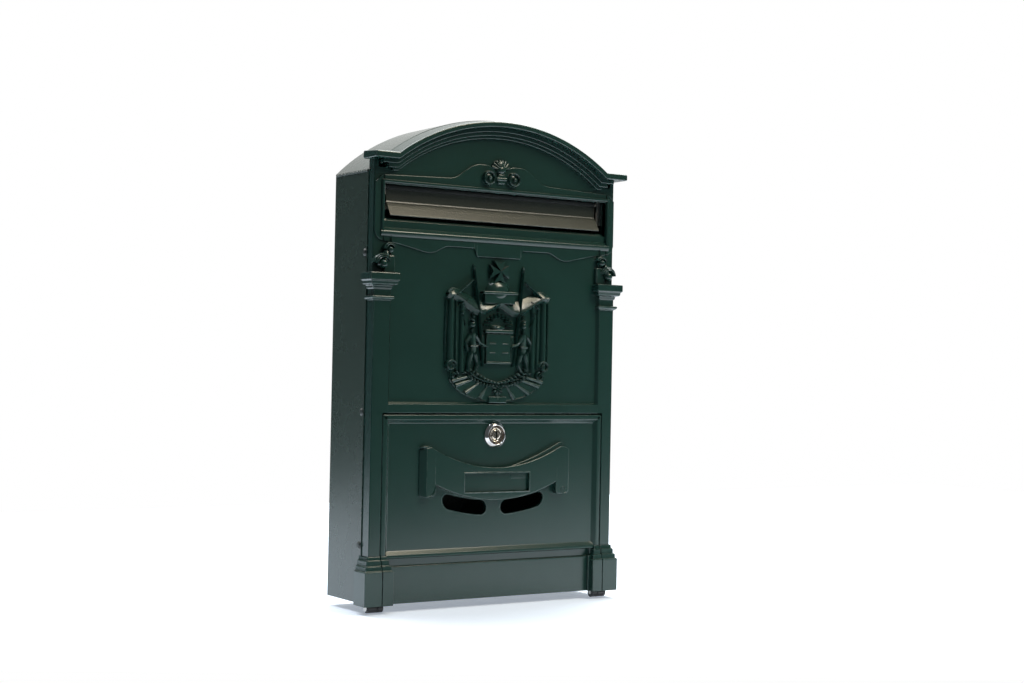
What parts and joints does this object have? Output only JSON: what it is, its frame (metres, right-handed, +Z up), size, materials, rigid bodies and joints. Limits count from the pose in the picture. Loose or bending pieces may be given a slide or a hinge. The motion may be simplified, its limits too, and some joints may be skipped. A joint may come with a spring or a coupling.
{
  "type": "wall mounted mailbox",
  "caption": "Wall mailbox with an arched cast front in relief over a steel casing, a lifting letter flap and a bottom-hinged door with viewing slots and a cam lock.",
  "frame": {"origin": "middle of the four wall holes, on the back plate's rear face", "axes": "+Y into the wall, +Z up, +X to the right as seen from in front"},
  "size_m": [0.254, 0.0784, 0.4102],
  "materials": {
    "green_casting": "dark moss-green gloss powder coat on cast aluminium, fine orange peel",
    "green_sheet": "dark green satin powder coat on folded steel sheet",
    "green_flap": "dark green gloss powder coat on bent sheet",
    "green_screws": "painted over with the casing",
    "black_hinge": "satin black",
    "zinc_fasteners": "zinc plated",
    "lock_chrome": "polished nickel chrome",
    "lock_brass": "nickel-plated brass, worn to a warm tint"
  },
  "bodies": {
    "box": {"front_frame": "green_casting", "crest_badge": "green_casting", "casing_wrap": "green_sheet", "roof_sheet": "green_sheet", "back_plate": "green_sheet", "casing_screws": "green_screws", "frame_hinge_left": "black_hinge", "frame_hinge_right": "black_hinge", "hinge_pin_left": "black_hinge", "hinge_pin_right": "black_hinge", "frame_hinge_screws": "zinc_fasteners", "flap_bracket_left": "black_hinge", "flap_bracket_right": "black_hinge", "flap_bracket_screws": "zinc_fasteners"},
    "door": {"door_panel": "green_casting", "name_scroll": "green_casting", "door_hinge_left": "black_hinge", "door_hinge_right": "black_hinge", "door_hinge_screws": "zinc_fasteners", "lock_housing": "lock_chrome", "lock_washer": "zinc_fasteners", "lock_nut": "lock_chrome"},
    "lock": {"lock_plug": "lock_brass", "lock_cam": "zinc_fasteners", "cam_screw": "zinc_fasteners"},
    "flap": {"slot_flap": "green_flap", "flap_rod": "zinc_fasteners"}
  },
  "joints": [
    {"name": "door_hinge", "type": "hinge", "parent": "box", "child": "door", "pos_m": [0, -0.0629, -0.1964], "axis": [1, 0, 0], "range_deg": [0, 90]},
    {"name": "lock_turn", "type": "hinge", "parent": "door", "child": "lock", "pos_m": [0, -0.0684, -0.0567], "axis": [0, -1, 0], "range_deg": [0, 90]},
    {"name": "flap_hinge", "type": "hinge", "parent": "box", "child": "flap", "pos_m": [0, -0.0564, 0.1465], "axis": [-1, 0, 0], "range_deg": [0, 80]}
  ]
}
